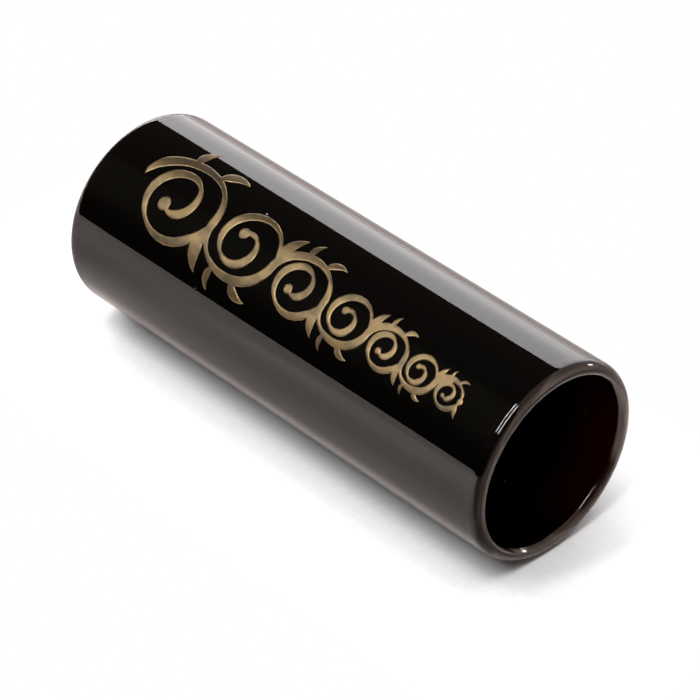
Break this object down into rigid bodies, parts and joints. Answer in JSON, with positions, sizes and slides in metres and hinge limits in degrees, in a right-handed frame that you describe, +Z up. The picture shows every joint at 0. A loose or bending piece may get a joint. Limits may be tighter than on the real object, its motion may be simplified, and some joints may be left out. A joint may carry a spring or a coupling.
{
  "type": "guitar slide",
  "caption": "Open-ended tube of dark tinted glass with polished rims and a gold scroll on the barrel, worn on a finger to play slide guitar.",
  "frame": {"origin": "centre of the bore, half way along the tube", "axes": "+X along the bore, from the ornament's large end to its small end; +Z up with the tube lying on its side; the ornament is on the -Y side, above the middle"},
  "size_m": [0.069, 0.025, 0.025],
  "materials": {
    "tinted_glass": "very dark red-brown glass, black where it is seen through both walls, fire polished",
    "fired_gold": "satin fired-on gold, slightly mottled"
  },
  "bodies": {
    "root": {"glass_tube": "tinted_glass", "gold_ornament": "fired_gold"}
  },
  "joints": []
}
